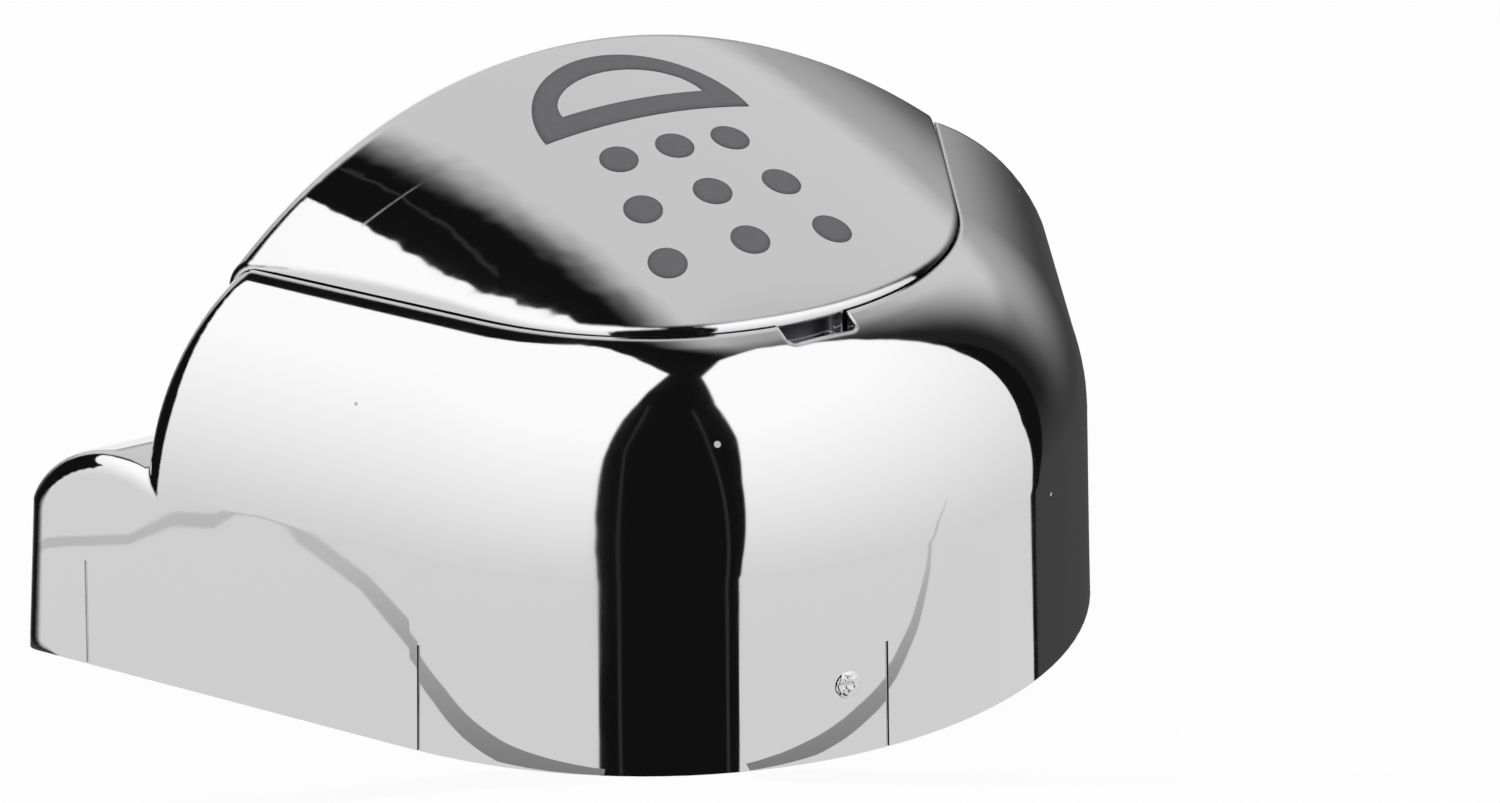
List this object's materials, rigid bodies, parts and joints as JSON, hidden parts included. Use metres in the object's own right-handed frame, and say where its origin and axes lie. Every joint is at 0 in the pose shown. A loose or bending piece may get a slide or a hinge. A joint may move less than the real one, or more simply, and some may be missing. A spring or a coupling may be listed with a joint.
{
  "type": "tap handle",
  "caption": "Chrome-plated tap handle with a round front, two low wings and a domed cap with a printed shower sign; pushes onto a mixer spindle and is held by a lock nut.",
  "frame": {"origin": "on the spindle axis, at the mouth of the spindle socket, which is level with the open rim", "axes": "+Z out of the wall mixer along the spindle axis, towards the cap; -Y towards the round front; +X to the right seen from the front"},
  "size_m": [0.0812, 0.0439, 0.036],
  "materials": {
    "body_chrome": "bright chrome plating on moulded ABS",
    "cap_chrome": "bright chrome plating on moulded ABS",
    "nut_steel": "bright zinc-plated steel",
    "ring_nylon": "dark nylon",
    "sign_ink": "matt grey printed ink"
  },
  "bodies": {
    "root": {"handle_body": "body_chrome", "top_cap": "cap_chrome", "lock_nut": "nut_steel", "nut_locking_ring": "ring_nylon"}
  },
  "joints": []
}
